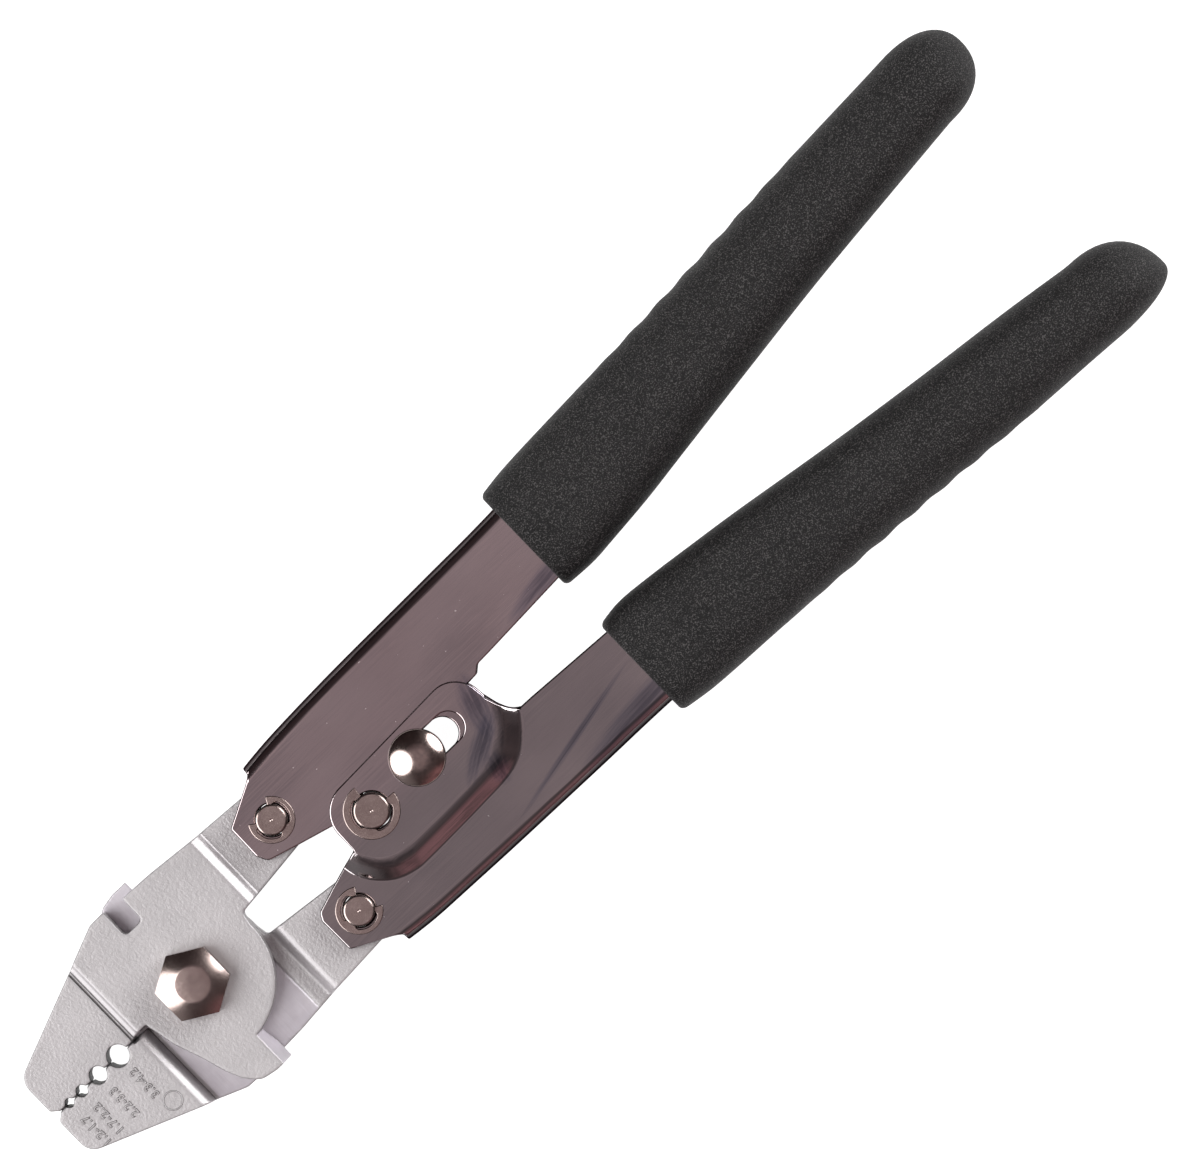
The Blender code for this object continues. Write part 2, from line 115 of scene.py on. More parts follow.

# Painted shade that bends, rims and sloping sides take: (upward part of the normal, tone)
SHEET_PAINTED_SHADE = ((0.0, 0.7), (0.2, 0.2), (0.45, 0.04), (0.66, 0.2), (0.84, 1.0))
PLATED_PAINTED_SHADE = ((0.0, 0.8), (0.2, 0.3), (0.45, 0.1), (0.66, 0.35), (0.84, 1.0))
CAST_PAINTED_SHADE = ((0.0, 0.8), (0.15, 0.35), (0.6, 0.4), (0.85, 1.0))
# Painted reflections on the chrome: x, y, turn in degrees, half length and half width
PAINTED_REFLECTIONS = ((71.5, 0.5, 72, 7.0, 3.0), (67.0, -5.5, 30, 8.0, 2.2), (66.8, -10.4, 70, 3.4, 2.6),
          (93.0, -20.2, 5, 17.0, 2.6), (95.5, 8.4, 8, 10.0, 2.2), (80.0, -16.2, 12, 18.0, 0.8))

# Soft boxes: name, direction from the tool, width and height in metres, and power in watts
SOFT_BOXES = (("key", (-0.78, 0.36, 0.86), 1.35, 1.45, 17.0),
              ("fill", (0.95, -0.05, 0.52), 1.1, 0.8, 14.0))
SOFT_BOX_DISTANCE = 1.3
# Room's colour by height over the horizon
CEILING = ((0.0, (0.04, 0.034, 0.034)), (0.55, (0.08, 0.06, 0.06)), (0.80, (0.10, 0.082, 0.084)),
           (0.95, (0.33, 0.277, 0.283)), (0.975, (0.35, 0.295, 0.30)))


# ---------------------------------------------------------------- mesh helpers

def link(name, mesh):
    made = bpy.data.objects.new(name, mesh)
    bpy.context.scene.collection.objects.link(made)
    return made


def bake(target):
    """Put the object's evaluated mesh in place of its own and drop its modifiers."""
    bpy.context.view_layer.update()
    evaluated = target.evaluated_get(bpy.context.evaluated_depsgraph_get())
    mesh = bpy.data.meshes.new_from_object(evaluated)
    target.modifiers.clear()
    target.data = mesh
    return target


def outwards(mesh, weld=0.005):
    work = bmesh.new()
    work.from_mesh(mesh)
    bmesh.ops.remove_doubles(work, verts=work.verts, dist=weld * MM)
    bmesh.ops.recalc_face_normals(work, faces=work.faces)
    work.to_mesh(mesh)
    work.free()


def combine(target, other, operation):
    modifier = target.modifiers.new(operation, "BOOLEAN")
    modifier.operation = operation
    modifier.object = other
    bake(target)
    bpy.data.objects.remove(other)
    return target


def rounded(corners, step=7.0):
    """Closed outline whose corners (x, y, radius) become arcs with a point about every step degrees."""
    points = []
    for index, (x, y, radius) in enumerate(corners):
        here = Vector((x, y))
        if radius == 0:
            points.append(here)
            continue
        back = (Vector(corners[index - 1][:2]) - here).normalized()
        ahead = (Vector(corners[(index + 1) % len(corners)][:2]) - here).normalized()
        half = back.angle(ahead) / 2
        centre = here + (back + ahead).normalized() * (radius / math.sin(half))
        start = here + back * (radius / math.tan(half)) - centre
        sweep = (math.pi - 2 * half) * (1 if back.cross(ahead) < 0 else -1)
        count = max(2, round(abs(math.degrees(sweep)) / step))
        for turn in range(count + 1):
            points.append(centre + Matrix.Rotation(sweep * turn / count, 2) @ start)
    return points


def around(x, y, radius, angle):
    return Vector((x + radius * math.cos(math.radians(angle)), y + radius * math.sin(math.radians(angle))))


def arc(x, y, radius, first, last, count):
    """Points on a circle from one angle to another, in degrees."""
    return [around(x, y, radius, first + (last - first) * turn / count) for turn in range(count + 1)]


def curve_through(points, count):
    """count + 1 points along a smooth curve through the given ones (Catmull-Rom)."""
    points = [Vector(point) for point in points]
    ends = [2 * points[0] - points[1]] + points + [2 * points[-1] - points[-2]]
    made = []
    for step in range(count + 1):
        at = step / count * (len(points) - 1)
        index = min(int(at), len(points) - 2)
        t = at - index
        a, b, c, d = ends[index:index + 4]
        made.append(0.5 * (2 * b + (c - a) * t + (2 * a - 5 * b + 4 * c - d) * t ** 2
                           + (3 * b - a - 3 * c + d) * t ** 3))
    return made


def prism(name, outline, low, high, soft=0.0):
    """Filled outline with a thickness, its rims rounded by soft."""
    curve = bpy.data.curves.new(name, "CURVE")
    curve.dimensions = "2D"
    curve.fill_mode = "BOTH"
    curve.extrude = ((high - low) / 2 - soft) * MM
    curve.bevel_depth = soft * MM
    curve.bevel_resolution = 2
    curve.offset = -soft * MM
    spline = curve.splines.new("POLY")
    spline.points.add(len(outline) - 1)
    for point, (x, y) in zip(spline.points, outline):
        point.co = (x * MM, y * MM, 0, 1)
    spline.use_cyclic_u = True
    flat = bpy.data.objects.new(name + "_outline", curve)
    flat.location.z = (low + high) / 2 * MM
    bpy.context.scene.collection.objects.link(flat)
    bpy.context.view_layer.update()
    evaluated = flat.evaluated_get(bpy.context.evaluated_depsgraph_get())
    mesh = bpy.data.meshes.new_from_object(evaluated)
    mesh.transform(flat.matrix_world)
    bpy.data.objects.remove(flat)
    outwards(mesh)
    return link(name, mesh)


def bar(name, section, x0, x1):
    """A (y, z) section drawn out along X."""
    made = prism(name, section, x0, x1)
    made.data.transform(Matrix(((0, 0, 1, 0), (1, 0, 0, 0), (0, 1, 0, 0), (0, 0, 0, 1))))
    return made


def cylinder(name, x, y, radius, low, high, sides=96):
    work = bmesh.new()
    bmesh.ops.create_cone(work, cap_ends=True, segments=sides, radius1=radius * MM, radius2=radius * MM,
                          depth=(high - low) * MM,
                          matrix=Matrix.Translation(Vector((x, y, (low + high) / 2)) * MM))
    mesh = bpy.data.meshes.new(name)
    work.to_mesh(mesh)
    work.free()
    return link(name, mesh)


def turned(name, x, y, profile, sides=96, ring=False):
    """Profile of (radius, z) pairs turned about an upright axis; a ring's profile closes on itself."""
    mesh = bpy.data.meshes.new(name)
    edges = [(index, index + 1) for index in range(len(profile) - 1)]
    if ring:
        edges.append((len(profile) - 1, 0))
    mesh.from_pydata([(radius * MM, 0, z * MM) for radius, z in profile], edges, [])
    made = link(name, mesh)
    screw = made.modifiers.new("turn", "SCREW")
    screw.steps = screw.render_steps = sides
    screw.use_merge_vertices = True
    screw.merge_threshold = 0.005 * MM
    bake(made)
    made.data.transform(Matrix.Translation(Vector((x, y, 0)) * MM))
    outwards(made.data)
    return made


def bore(target, x, y, radius):
    return combine(target, cylinder("bore", x, y, radius, -20, 20, 72), "DIFFERENCE")


def keep_flats(target, least):
    """Level faces over a least area in square millimetres keep their own direction up to their rims."""
    mesh = target.data
    normals = [Vector(corner.vector) for corner in mesh.corner_normals]
    for face in mesh.polygons:
        if face.area > least * MM ** 2 and abs(face.normal.z) > 0.9999:
            upright = Vector((0, 0, math.copysign(1.0, face.normal.z)))
            for corner in face.loop_indices:
                normals[corner] = upright
    mesh.normals_split_custom_set(normals)
    return target


def smooth_up_to(target, angle):
    """Smooth shading that keeps edges sharper than an angle in degrees."""
    target.data.shade_smooth()
    target.data.set_sharp_from_angle(angle=math.radians(angle))
    return target


def soften(target, width):
    """Round the piece's hard edges and let its flats keep flat shading."""
    bevel = target.modifiers.new("rim", "BEVEL")
    bevel.width = width * MM
    bevel.segments = 2
    bevel.limit_method = "ANGLE"
    bevel.angle_limit = math.radians(40)
    bevel.use_clamp_overlap = False
    bevel.miter_outer = "MITER_ARC"
    weigh = target.modifiers.new("normals", "WEIGHTED_NORMAL")
    weigh.weight = 80
    target.data.shade_smooth()
    bake(target)
    return keep_flats(target, WIDE_FLAT)


def settle(piece, body, finish, node=None):
    """Bring a piece from tool coordinates into the frame, on its body, with its material."""
    piece.data.transform(Matrix.Translation(PIVOT))
    piece.data.materials.clear()
    piece.data.materials.append(finish)
    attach(piece, body)
    if node:
        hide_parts(node)
    return piece


# ---------------------------------------------------------------- materials

def new_finish(name):
    """New material, its node tree and the coordinates fixed to the piece."""
    made = bpy.data.materials.new(name)
    made.use_nodes = True
    return made, made.node_tree, made.node_tree.nodes.new("ShaderNodeTexCoord").outputs["Object"]


def wired(tree, node, inputs):
    """The node, once its inputs are given: each a value or another node's output."""
    for socket, value in inputs.items():
        if isinstance(value, bpy.types.NodeSocket):
            tree.links.new(value, node.inputs[socket])
        else:
            node.inputs[socket].default_value = value
    return node


def set_shader(finish, metallic, colour, roughness, normal, **others):
    """The material, once its shader's inputs are given; the others' names have _ for a space."""
    inputs = {"Metallic": metallic, "Base Color": colour, "Roughness": roughness, "Normal": normal}
    inputs.update((name.replace("_", " "), value) for name, value in others.items())
    wired(finish.node_tree, finish.node_tree.nodes["Principled BSDF"], inputs)
    return finish


def noise(tree, coordinates, scale, detail, rough=0.55, stretch=None):
    if stretch:
        mapping = wired(tree, tree.nodes.new("ShaderNodeMapping"), {"Vector": coordinates, "Scale": stretch})
        coordinates = mapping.outputs["Vector"]
    return wired(tree, tree.nodes.new("ShaderNodeTexNoise"), {
        "Vector": coordinates, "Scale": scale, "Detail": detail, "Roughness": rough}).outputs["Fac"]


def ramp(tree, factor, stops):
    """Colour ramp over a factor; stops are (position, colour)."""
    made = tree.nodes.new("ShaderNodeValToRGB")
    elements = made.color_ramp.elements
    while len(elements) < len(stops):
        elements.new(0.5)
    for element, (position, colour) in zip(elements, stops):
        element.position = position
        element.color = (*colour, 1.0)
    return wired(tree, made, {"Fac": factor}).outputs["Color"]


def blended(tree, kind, first, second):
    """Two colours combined by ADD or MULTIPLY."""
    made = tree.nodes.new("ShaderNodeMix")
    made.data_type, made.blend_type = "RGBA", kind
    return wired(tree, made, {"Factor": 1.0, "A": first, "B": second}).outputs["Result"]


def maths(tree, operation, *values):
    made = tree.nodes.new("ShaderNodeMath")
    made.operation = operation
    return wired(tree, made, dict(enumerate(values))).outputs["Value"]


def component(tree, vector, axis):
    return wired(tree, tree.nodes.new("ShaderNodeSeparateXYZ"), {"Vector": vector}).outputs[axis]


def remapped(tree, value, source, target, kind="LINEAR"):
    """A value carried from one range to another and held at its ends."""
    made = tree.nodes.new("ShaderNodeMapRange")
    made.interpolation_type = kind
    ends = zip(("From Min", "From Max", "To Min", "To Max"), (*source, *target))
    return wired(tree, made, {"Value": value, **dict(ends)}).outputs["Result"]


def spread(tree, factor, low, high):
    """Noise, which is mostly between 0.3 and 0.7, carried to a range."""
    return remapped(tree, factor, (0.3, 0.7), (low, high))


def bump(tree, height, distance, strength, under=None):
    inputs = {"Height": height, "Distance": distance * MM, "Strength": strength}
    if under:
        inputs["Normal"] = under
    return wired(tree, tree.nodes.new("ShaderNodeBump"), inputs).outputs["Normal"]


def painted_side_shade(tree, colour, stops):
    """Painted shade: darken a colour by how level the surface is; stops are (upward part of the normal,
    tone).
    """
    normal = tree.nodes.new("ShaderNodeNewGeometry").outputs["True Normal"]
    level = maths(tree, "ABSOLUTE", component(tree, normal, "Z"))
    tone = ramp(tree, level, [(height, (tone,) * 3) for height, tone in stops])
    return blended(tree, "MULTIPLY", colour, tone)


def cast_steel():
    """Bead-blasted plated casting: orange peel with a fine grain, with painted shade on its sloping sides."""
    made, tree, place_of = new_finish("cast_steel_finish")
    peel = noise(tree, place_of, 1800, 2.0)
    grain = noise(tree, place_of, 4600, 2.0)
    cloud = noise(tree, place_of, 90, 3.0)
    colour = ramp(tree, cloud, [(0.35, (0.49, 0.475, 0.48)), (0.65, (0.55, 0.532, 0.538))])
    return set_shader(made, 0.4, painted_side_shade(tree, colour, CAST_PAINTED_SHADE), spread(tree, grain, 0.40, 0.55),
                      bump(tree, peel, 0.12, 0.85, bump(tree, grain, 0.035, 0.7)))


def milled_painted_light_steel():
    """Faces milled after casting: fine parallel tool marks, a little cooler than the casting, and lighter
    than it as painted light on the shaded lap and the stop lug's side.
    """
    made, tree, place_of = new_finish("milled_painted_light_steel_finish")
    marks = noise(tree, place_of, 2600, 2.0, 0.6, (1.0, 0.06, 0.3))
    cloud = noise(tree, place_of, 160, 3.0)
    colour = ramp(tree, cloud, [(0.35, (0.56, 0.53, 0.57)), (0.65, (0.66, 0.63, 0.67))])
    return set_shader(made, 0.5, colour, spread(tree, marks, 0.30, 0.46), bump(tree, marks, 0.03, 0.6))


def grained_steel(name, metallic, scale, dark, light, roughness, relief, marks=(0.55, None)):
    """Steel whose colour, roughness and relief all follow one fine grain."""
    made, tree, place_of = new_finish(name)
    grain = noise(tree, place_of, scale, 2.0, *marks)
    colour = ramp(tree, grain, [(0.35, dark), (0.65, light)])
    return set_shader(made, metallic, colour, spread(tree, grain, *roughness), bump(tree, grain, *relief))


def rolled_steel():
    """Shoulders and crests of the castings, rubbed smooth."""
    return grained_steel("rolled_steel_finish", 0.65, 2600, (0.50, 0.48, 0.49), (0.58, 0.56, 0.57),
                         (0.40, 0.54), (0.03, 0.6))


def flank_shade_steel():
    """Dark steel for painted shade on the flanks of raised figures."""
    return grained_steel("flank_shade_steel_finish", 0.3, 1900, (0.09, 0.085, 0.085), (0.26, 0.25, 0.25),
                         (0.5, 0.7), (0.04, 0.5))


def die_bore_shade_steel():
    """Walls of the dies: drilled; their near-black colour is painted shade inside the bores."""
    return grained_steel("die_bore_shade_steel_finish", 0.8, 2400, (0.035, 0.032, 0.032), (0.075, 0.068, 0.066),
                         (0.35, 0.5), (0.03, 0.6), (0.6, (0.2, 0.2, 1.0)))


def painted_reflection(tree, coordinates, x, y, turn, length, width):
    """Painted reflection: a bluish streak, ragged and fading outwards, laid on at a place of the plates."""
    mapping = tree.nodes.new("ShaderNodeMapping")
    mapping.vector_type = "TEXTURE"
    spot = wired(tree, mapping, {"Vector": coordinates, "Location": place(x, y, CHANNEL_Z),
                                 "Rotation": (0, 0, math.radians(turn)),
                                 "Scale": (length * MM, width * MM, 30 * MM)}).outputs["Vector"]
    glow = tree.nodes.new("ShaderNodeTexGradient")
    glow.gradient_type = "SPHERICAL"
    fading = wired(tree, glow, {"Vector": spot}).outputs["Fac"]
    streaks = noise(tree, spot, 1.6, 3.0, 0.6, (0.5, 2.0, 1.0))
    ragged = maths(tree, "MULTIPLY", fading, spread(tree, streaks, 0.2, 1.8))
    return ramp(tree, ragged, [(0.0, (1.0, 1.0, 1.0)), (0.40, (0.70, 0.73, 0.80)), (0.9, (0.44, 0.47, 0.54))])


def sheet_colour(tree, place_of):
    """Painted reflections: cooler on the lower handle and warmer, lighter on the upper one, with bluish
    streaks laid on; painted shade on the bends.
    """
    tone = noise(tree, place_of, 38, 2.0)
    across = component(tree, place_of, "Y")
    # Painted reflection: the same chrome toned cool on the lower handle, warm and light on the upper
    mixed = tree.nodes.new("ShaderNodeMix")
    mixed.data_type = "RGBA"
    colour = wired(tree, mixed, {
        "Factor": remapped(tree, across, (-6.0 * MM, 3.0 * MM), (0.0, 1.0), "SMOOTHSTEP"),
        "A": ramp(tree, tone, [(0.3, (0.43, 0.395, 0.405)), (0.7, (0.53, 0.485, 0.49))]),
        "B": ramp(tree, tone, [(0.3, (0.58, 0.49, 0.50)), (0.7, (0.67, 0.58, 0.59))])}).outputs["Result"]
    # Painted reflections darken the chrome in bluish streaks
    for mark in PAINTED_REFLECTIONS:
        colour = blended(tree, "MULTIPLY", colour, painted_reflection(tree, place_of, *mark))
    return painted_side_shade(tree, colour, SHEET_PAINTED_SHADE)


def chrome():
    """Chrome on stamped sheet: nearly a mirror, slightly rolled, with rubbed streaks and dull specks."""
    made, tree, place_of = new_finish("chrome_finish")
    roll = noise(tree, place_of, 60, 1.0, 0.4, (0.45, 1.0, 1.0))
    streak = noise(tree, place_of, 260, 3.0, 0.6, (0.12, 1.0, 1.0))
    speck = noise(tree, place_of, 1300, 1.0)
    lines = noise(tree, place_of, 1500, 2.0, 0.6, (0.05, 1.0, 1.0))
    dull = remapped(tree, speck, (0.77, 0.82), (0.0, 0.25))
    fine = bump(tree, streak, 0.03, 0.5, bump(tree, lines, 0.04, 0.4))
    return set_shader(made, 1.0, sheet_colour(tree, place_of),
                      maths(tree, "ADD", spread(tree, streak, 0.06, 0.12), dull),
                      bump(tree, roll, 0.9, 0.6, fine), Specular_Tint=(0.30, 0.28, 0.29, 1.0))


def nickel(low, high):
    """Nickel plate with a roughness range, with painted shade on its sloping sides."""
    made, tree, place_of = new_finish("nickel_finish")
    cloud = noise(tree, place_of, 420, 2.0)
    fleck = noise(tree, place_of, 3000, 2.0)
    colour = ramp(tree, cloud, [(0.3, (0.44, 0.35, 0.325)), (0.7, (0.54, 0.44, 0.41))])
    return set_shader(made, 1.0, painted_side_shade(tree, colour, PLATED_PAINTED_SHADE), spread(tree, fleck, low, high),
                      bump(tree, fleck, 0.006, 0.3))


def rubber():
    """Moulded grip rubber with a fine pebble."""
    made, tree, place_of = new_finish("rubber_finish")
    pebble = noise(tree, place_of, 4000, 2.0)
    dust = noise(tree, place_of, 90, 4.0)
    colour = ramp(tree, pebble, [(0.38, (0.001, 0.001, 0.0012)), (0.53, (0.005, 0.0047, 0.005)),
                                 (0.66, (0.085, 0.081, 0.080))])
    return set_shader(made, 0.0, colour, spread(tree, dust, 0.50, 0.66), bump(tree, pebble, 0.2, 1.0),
                      Specular_IOR_Level=0.34)


# ---------------------------------------------------------------- camera, floor and light

def camera():
    """Straight down over the middle of the view, turned so that the tool runs from corner to corner."""
    view_x, view_y, view_width = 103.3, 1.1, 217.0
    height = 1.30
    data = bpy.data.cameras.new("camera")
    data.sensor_width = 36.0
    data.lens = data.sensor_width * height / (view_width * MM)
    data.clip_end = 50.0
    made = bpy.data.objects.new("camera", data)
    made.location = place(view_x, view_y, PLATE_Z) + Vector((0, 0, height))
    made.rotation_euler = (0, 0, math.radians(-44.04))
    bpy.context.scene.collection.objects.link(made)
    bpy.context.scene.camera = made


def table_finish():
    """Lit white that greys off well outside the tool. From below it is clear, to show the back."""
    made, tree, place_of = new_finish("floor_finish")
    reach = tree.nodes.new("ShaderNodeVectorMath")
    reach.operation = "LENGTH"
    reach = wired(tree, reach, {0: place_of}).outputs["Value"]
    fade = remapped(tree, reach, (0.22, 0.9), (0.96, 0.30), "SMOOTHSTEP")
    # The tool sees a dimmer table than the camera does, or its rims would glow
    by_camera = tree.nodes.new("ShaderNodeLightPath").outputs["Is Camera Ray"]
    glow = maths(tree, "MULTIPLY", fade, remapped(tree, by_camera, (0.0, 1.0), (0.5, 1.0)))
    shader = wired(tree, tree.nodes["Principled BSDF"], {
        "Base Color": (0.45, 0.45, 0.45, 1.0), "Roughness": 0.9,
        "Emission Color": (1.0, 1.0, 1.0, 1.0), "Emission Strength": glow})
    sides = wired(tree, tree.nodes.new("ShaderNodeMixShader"), {
        "Fac": tree.nodes.new("ShaderNodeNewGeometry").outputs["Backfacing"],
        1: shader.outputs["BSDF"],
        2: tree.nodes.new("ShaderNodeBsdfTransparent").outputs["BSDF"]})
    wired(tree, tree.nodes["Material Output"], {"Surface": sides.outputs["Shader"]})
    return made


def floor():
    """A wide disc that faces up, just under the tool."""
    work = bmesh.new()
    bmesh.ops.create_circle(work, cap_ends=True, segments=128, radius=12.0)
    for face in work.faces:
        face.normal_update()
        if face.normal.z < 0:
            face.normal_flip()
    mesh = bpy.data.meshes.new("floor")
    work.to_mesh(mesh)
    work.free()
    made = link("floor", mesh)
    made.location.z = -0.05 * MM
    made.data.materials.append(table_finish())


def soft_boxes():
    """A large one on the jaws' side and a smaller one on the grips' side."""
    for name, direction, width, height, power in SOFT_BOXES:
        data = bpy.data.lights.new(name, "AREA")
        data.shape = "ELLIPSE"
        data.size, data.size_y = width, height
        data.energy = power
        lamp = bpy.data.objects.new(name, data)
        lamp.location = Vector(direction).normalized() * SOFT_BOX_DISTANCE
        lamp.rotation_euler = Vector(direction).to_track_quat("Z", "Y").to_euler()
        bpy.context.scene.collection.objects.link(lamp)


def surroundings():
    """Dim warm room: bright overhead and mottled, dim on the +Y side, lit at both ends, reddish at -Y."""
    world = bpy.data.worlds.new("studio")
    world.use_nodes = True
    tree = world.node_tree
    direction = tree.nodes.new("ShaderNodeTexCoord").outputs["Generated"]
    along_x, along_y, up = (component(tree, direction, axis) for axis in "XYZ")
    clouds = ramp(tree, noise(tree, direction, 9, 2.0, 0.5),
                  [(0.35, (0.70, 0.71, 0.74)), (0.65, (1.2, 1.17, 1.17))])
    ends = ramp(tree, maths(tree, "ABSOLUTE", along_x),
                [(0.58, (0.0, 0.0, 0.0)), (0.95, (0.24, 0.235, 0.24))])
    gloom = ramp(tree, remapped(tree, along_y, (0.25, 0.6), (0.0, 1.0)),
                 [(0.0, (1.0, 1.0, 1.0)), (1.0, (0.42, 0.40, 0.40))])
    bands = ramp(tree, noise(tree, direction, 3.0, 2.0, 0.6, (0.6, 1.0, 5.0)),
                 [(0.36, (0.03, 0.018, 0.018)), (0.60, (0.42, 0.20, 0.215))])
    reddish = blended(tree, "MULTIPLY", bands, remapped(tree, along_y, (-0.72, -0.90), (0.0, 1.0)))
    room = blended(tree, "MULTIPLY", ramp(tree, up, CEILING), clouds)
    room = blended(tree, "MULTIPLY", blended(tree, "ADD", room, ends), gloom)
    wired(tree, tree.nodes["Background"], {"Color": blended(tree, "ADD", room, reddish)})
    bpy.context.scene.world = world


# ---------------------------------------------------------------- jaws

def jaw_plan():
    corners = [(JAW_TIP_X + 1.6, PARTING, 0.4), (-12.0, PARTING, 0.3), (-11.3, -0.6, 0.4), (-10.3, -5.5, 0),
               (-8.3, -11.0, 8.0), (-7.0, -15.4, 6.0), (-5.6, -18.6, 3.0), (-3.3, -21.2, 3.0),
               (0.0, -21.8, 0), (4.0, -21.8, 0.6), (2.75, -14.5, 0.2)]
    corners += [(x, y, 0) for x, y in arc(0, 0, BOSS_R, -78, 2, 30)]
    corners += [(15.2, 3.0, 0.8), (31.0, 4.8, 0), (37.2, 5.1, 6.0), (37.2, 17.6, 6.2),
                (18.0, 18.8, 0), (8.0, 19.7, 0), (1.2, 20.0, 0.4), (1.2, LUG_Y, 0.9),
                (-3.0, LUG_Y, 0.9), (-3.0, 20.6, 0.3), (-6.4, 20.5, 2.0), (-15.0, 17.0, 0),
                (JAW_TIP_X, 9.0, 3.5), (JAW_TIP_X, 1.3, 0.5)]
    return rounded(corners)


def jaw_side():
    """The jaw from the side: full height at the dies, half lapped at the pivot, thinner at the tail."""
    # Under the die block a rolled shoulder drops to the lap; at the tail a steep wall ends in a rounded crest
    shoulder = curve_through([(-14.8, -TIP_Z), (-14.3, -TIP_Z + 0.07), (-13.7, -TIP_Z + 0.4),
                              (-13.1, -TIP_Z + 0.85), (-12.7, -2.9), (-12.4, -1.4), (-12.1, LAP - 0.2),
                              (-11.5, LAP)], 28)
    crest = curve_through([(15.9, LAP - 0.3), (16.3, -0.5), (16.7, -1.5), (17.1, -2.3), (17.6, -2.75),
                           (18.3, -TAIL_Z + 0.04), (18.9, -TAIL_Z)], 24)
    # On the face a groove marks the foot of the front ramp, and the tail drops by a chamfer and a wall
    tail = curve_through([(20.0, TAIL_Z), (19.5, TAIL_Z + 0.1), (19.2, TAIL_Z + 0.5), (18.95, TAIL_Z + 1.1),
                          (18.6, TAIL_Z + 1.5), (17.9, PLATE_Z - 0.45), (17.3, PLATE_Z - 0.06),
                          (16.9, PLATE_Z)], 28)
    ramp_up = [(-13.1, PLATE_Z), (-13.5, PLATE_Z - 0.08), (-14.0, PLATE_Z - 0.5), (-14.7, TIP_Z + 0.3),
               (-14.8, TIP_Z - 0.6), (-15.3, TIP_Z - 0.6), (-15.5, TIP_Z)]
    return ([Vector((-40, -TIP_Z))] + shoulder + [Vector((13.0, LAP)), Vector((13.15, LAP - 0.3))] + crest
            + [Vector((42, -TAIL_Z)), Vector((42, TAIL_Z))] + tail
            + [Vector(point) for point in ramp_up] + [Vector((-40, TIP_Z))])


def jaw(name):
    """One casting, as it sits on the upper side."""
    made = prism(name, jaw_plan(), -8, 8)
    side = prism("jaw_side", jaw_side(), -30, 30)
    side.data.transform(Matrix.Rotation(math.radians(90), 4, "X"))
    combine(made, side, "INTERSECT")
    bore(made, 0, 0, BOLT_R + 0.2)
    bore(made, TAIL_PIN.x, TAIL_PIN.y, TAIL_BORE_R)
    for x, radius in DIES:
        bore(made, x, 0, radius)
        # The die's mouths are broken where they meet the parting face
        flare = prism("flare", [(x - radius - 0.5, 0), (x, 0.6), (x + radius + 0.5, 0), (x, -0.6)], -20, 20)
        combine(made, flare, "DIFFERENCE")
    # Broken edges along the parting line, widest behind the last die
    for x0, x1, width, depth in ((-36, -15.3, 0.22, 0.6), (-15.5, -11.4, 0.6, 2.6)):
        for side in (1, -1):
            face = PLATE_Z if side > 0 and x0 > -20 else TIP_Z
            section = [(-1, side * (face - depth)), (PARTING, side * (face - depth)),
                       (PARTING + width, side * face), (PARTING + width, side * 9), (-1, side * 9)]
            combine(made, bar("break", section, x0, x1), "DIFFERENCE")
    # Draft on the stop lug's side
    wedge = prism("wedge", [(1.3, 6.5), (3.6, -0.5), (6.0, -0.5), (6.0, 6.5)], 14.6, 23.5)
    wedge.data.transform(Matrix.Rotation(math.radians(90), 4, "X"))
    combine(made, wedge, "DIFFERENCE")
    return made


def cast_edges(piece):
    """Soft cast edges: an even mesh, smoothed, then thinned out on the flats."""
    remesh = piece.modifiers.new("even", "REMESH")
    remesh.mode = "VOXEL"
    remesh.voxel_size = VOXEL * MM
    smooth = piece.modifiers.new("soft", "SMOOTH")
    smooth.factor = 0.5
    smooth.iterations = 12
    thin = piece.modifiers.new("thin", "DECIMATE")
    thin.ratio = 0.4
    piece.data.shade_smooth()
    bake(piece)
    piece.data.shade_smooth()
    return piece


def die_label(name, words, x):
    """Raised size figures beside a die, reading towards the parting line, with sloping flanks."""
    height, length, start, relief = 1.75, 6.6, -10.1, 0.22
    curve = bpy.data.curves.new(name, "FONT")
    curve.body = words
    curve.size = 1.0
    curve.offset = -0.012
    curve.bevel_depth = 0.05
    curve.bevel_resolution = 1
    curve.space_character = 1.12
    flat = bpy.data.objects.new(name + "_text", curve)
    bpy.context.scene.collection.objects.link(flat)
    bpy.context.view_layer.update()
    mesh = bpy.data.meshes.new_from_object(flat.evaluated_get(bpy.context.evaluated_depsgraph_get()))
    bpy.data.objects.remove(flat)
    low = Vector([min(v.co[axis] for v in mesh.vertices) for axis in range(3)])
    high = Vector([max(v.co[axis] for v in mesh.vertices) for axis in range(3)])
    for vertex in mesh.vertices:
        across_share, up_share, rise_share = (
            (vertex.co[axis] - low[axis]) / (high[axis] - low[axis]) for axis in range(3))
        vertex.co = Vector((x + height * (0.5 - up_share), start + length * across_share,
                            TIP_Z - relief + 2 * relief * rise_share)) * MM
    outwards(mesh, 0.001)
    return link(name, mesh)


def painted_shade_flanks(piece, flank_shade):
    """The flanks of raised figures are dark: painted shade."""
    piece.data.materials.append(flank_shade)
    for face in piece.data.polygons:
        # Painted shade on the side walls
        if abs(face.normal.z) < 0.9:
            face.material_index = 1


def turn_over(piece):
    """The other jaw is the same casting turned over about the tool's axis."""
    piece.data.transform(Matrix.Rotation(math.pi, 4, "X"))
    return piece


def inside(x, stretch):
    return stretch[0] < x < stretch[1]


